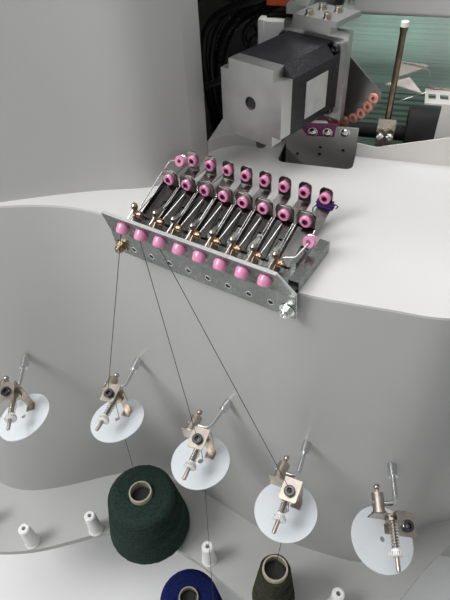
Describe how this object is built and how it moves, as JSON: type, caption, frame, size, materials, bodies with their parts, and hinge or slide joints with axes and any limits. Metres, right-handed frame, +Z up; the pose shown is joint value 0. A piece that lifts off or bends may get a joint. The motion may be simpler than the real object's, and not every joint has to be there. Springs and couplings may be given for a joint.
{
  "type": "sample weaving loom",
  "caption": "Sample weaving loom with a curved yarn wing: spring-lever yarn feeder, rotary yarn selector, creel with tensioners, and a rapier weaving zone between two housings.",
  "frame": {"origin": "middle of the footprint, at floor level", "axes": "+Z up, +X to the operator's right, +Y from the operator into the machine"},
  "size_m": [1.35, 1.3286, 1.4],
  "materials": {
    "housing_paint": "satin",
    "deck_paint": "satin",
    "apron_paint": "satin",
    "shelf_paint": "satin",
    "frame_paint": "satin",
    "fence_paint": "satin",
    "zinc": "zinc plated",
    "polished": "polished",
    "dark_steel": "polished dark",
    "brass_steel": "nickel plated",
    "ceramic_pink": "glazed",
    "white_plastic": "moulded",
    "disc_plastic": "translucent",
    "black_plastic": "moulded",
    "black_lamination": "black lacquer",
    "cast_silver": "cast",
    "steel": "machined",
    "rubber_black": "ground",
    "yarn_green": "cross wound",
    "yarn_blue": "cross wound",
    "yarn_olive": "cross wound",
    "paper": "wound card",
    "cloth_green": "plain weave",
    "warp_white": "spun",
    "stop_red": "moulded",
    "thread": "spun"
  },
  "bodies": {
    "loom": {"levelling_feet": "steel", "frame_beams": "frame_paint", "side_frames": "frame_paint", "left_front_cover": "housing_paint", "left_outer_cover": "housing_paint", "right_housing": "housing_paint", "drive_motor": "frame_paint", "deck": "deck_paint", "apron_panel": "apron_paint", "lower_skirt": "housing_paint", "creel_shelf": "shelf_paint", "cone_pegs": "white_plastic", "top_bridge": "housing_paint", "yarn_cone_green": "yarn_green", "yarn_cone_blue": "yarn_blue", "yarn_cone_olive": "yarn_olive", "cone_cores": "paper", "tension_rods": "polished", "tension_clamps": "polished", "tension_brackets": "brass_steel", "yarn_eyelets": "ceramic_pink", "tension_posts": "polished", "tension_springs": "polished", "balloon_discs": "disc_plastic", "feeder_plate": "zinc", "feeder_tray": "zinc", "feeder_leaves": "dark_steel", "feeder_tabs": "dark_steel", "feeder_fasteners": "polished", "motor_rear_cap": "cast_silver", "motor_stack": "black_lamination", "motor_flange": "cast_silver", "motor_mount": "cast_silver", "selector_plate": "black_plastic", "front_fence": "fence_paint", "cloth_bars": "polished", "cloth": "cloth_green", "warp_sheet": "warp_white", "thread_gripper": "polished", "control_panel": "black_plastic", "motor_cable": "black_plastic", "yarns": "thread"},
    "take_up": {"take_up_roller": "rubber_black"},
    "cloth_roll": {"cloth_roller": "cloth_green"},
    "warp_supply": {"warp_beam": "warp_white"},
    "beat_up": {"sley": "steel"},
    "healds_odd": {"heald_frames_odd": "cast_silver"},
    "healds_even": {"heald_frames_even": "cast_silver"},
    "weft_rapier": {"rapier": "steel"},
    "stop_button": {"emergency_stop": "stop_red"},
    "fan": {"selector_fan": "polished", "fan_eyelets": "ceramic_pink"},
    "lever_1": {"yarn_lever_1": "polished"},
    "lever_2": {"yarn_lever_2": "polished"},
    "lever_3": {"yarn_lever_3": "polished"},
    "lever_4": {"yarn_lever_4": "polished"},
    "lever_5": {"yarn_lever_5": "polished"},
    "lever_6": {"yarn_lever_6": "polished"},
    "lever_7": {"yarn_lever_7": "polished"},
    "lever_8": {"yarn_lever_8": "polished"}
  },
  "joints": [
    {"name": "lever_1_pivot", "type": "hinge", "parent": "loom", "child": "lever_1", "pos_m": [-0.27245, -0.43592, 0.86], "axis": [0.9659, -0.2588, 0], "range_deg": [-6, 20], "stiffness_Nm_per_rad": 0.002},
    {"name": "lever_2_pivot", "type": "hinge", "parent": "loom", "child": "lever_2", "pos_m": [-0.24396, -0.44355, 0.86], "axis": [0.9659, -0.2588, 0], "range_deg": [0, 35], "stiffness_Nm_per_rad": 0.002},
    {"name": "lever_3_pivot", "type": "hinge", "parent": "loom", "child": "lever_3", "pos_m": [-0.22019, -0.44992, 0.86], "axis": [0.9659, -0.2588, 0], "range_deg": [0, 35], "stiffness_Nm_per_rad": 0.002},
    {"name": "lever_4_pivot", "type": "hinge", "parent": "loom", "child": "lever_4", "pos_m": [-0.19643, -0.45629, 0.86], "axis": [0.9659, -0.2588, 0], "range_deg": [0, 35], "stiffness_Nm_per_rad": 0.002},
    {"name": "lever_5_pivot", "type": "hinge", "parent": "loom", "child": "lever_5", "pos_m": [-0.17267, -0.46265, 0.86], "axis": [0.9659, -0.2588, 0], "range_deg": [0, 35], "stiffness_Nm_per_rad": 0.002},
    {"name": "lever_6_pivot", "type": "hinge", "parent": "loom", "child": "lever_6", "pos_m": [-0.14891, -0.46902, 0.86], "axis": [0.9659, -0.2588, 0], "range_deg": [0, 35], "stiffness_Nm_per_rad": 0.002},
    {"name": "lever_7_pivot", "type": "hinge", "parent": "loom", "child": "lever_7", "pos_m": [-0.12515, -0.47539, 0.86], "axis": [0.9659, -0.2588, 0], "range_deg": [0, 35], "stiffness_Nm_per_rad": 0.002},
    {"name": "lever_8_pivot", "type": "hinge", "parent": "loom", "child": "lever_8", "pos_m": [-0.10138, -0.48175, 0.86], "axis": [0.9659, -0.2588, 0], "range_deg": [-12, 25], "stiffness_Nm_per_rad": 0.002},
    {"name": "selector_turn", "type": "hinge", "parent": "loom", "child": "fan", "pos_m": [-0.174, -0.3187, 0.946], "axis": [0.4226, 0.9063, 0], "range_deg": [-30, 30]},
    {"name": "take_up_turn", "type": "hinge", "parent": "loom", "child": "take_up", "pos_m": [0.095, -0.1327, 0.838], "axis": [1, 0, 0], "continuous": true},
    {"name": "cloth_roll_turn", "type": "hinge", "parent": "loom", "child": "cloth_roll", "pos_m": [0.095, -0.1357, 0.56], "axis": [1, 0, 0], "continuous": true},
    {"name": "warp_beam_turn", "type": "hinge", "parent": "loom", "child": "warp_supply", "pos_m": [0.095, 0.4993, 0.54], "axis": [1, 0, 0], "continuous": true},
    {"name": "sley_rock", "type": "hinge", "parent": "loom", "child": "beat_up", "pos_m": [0.095, 0.1593, 0.65], "axis": [-1, 0, 0], "range_deg": [-4, 6], "stiffness_Nm_per_rad": 60},
    {"name": "heald_odd_lift", "type": "slide", "parent": "loom", "child": "healds_odd", "axis": [0, 0, 1], "range_m": [-0.025, 0.025], "stiffness_N_per_m": 20000},
    {"name": "heald_even_lift", "type": "slide", "parent": "loom", "child": "healds_even", "axis": [0, 0, 1], "range_m": [-0.025, 0.025], "stiffness_N_per_m": 20000},
    {"name": "rapier_stroke", "type": "slide", "parent": "loom", "child": "weft_rapier", "axis": [1, 0, 0], "range_m": [0, 0.47]},
    {"name": "stop_press", "type": "slide", "parent": "loom", "child": "stop_button", "axis": [0, 1, 0], "range_m": [0, 0.006], "stiffness_N_per_m": 800}
  ],
  "couplings": [
    {"joint": "heald_even_lift", "follows": "heald_odd_lift", "ratio": -1}
  ]
}
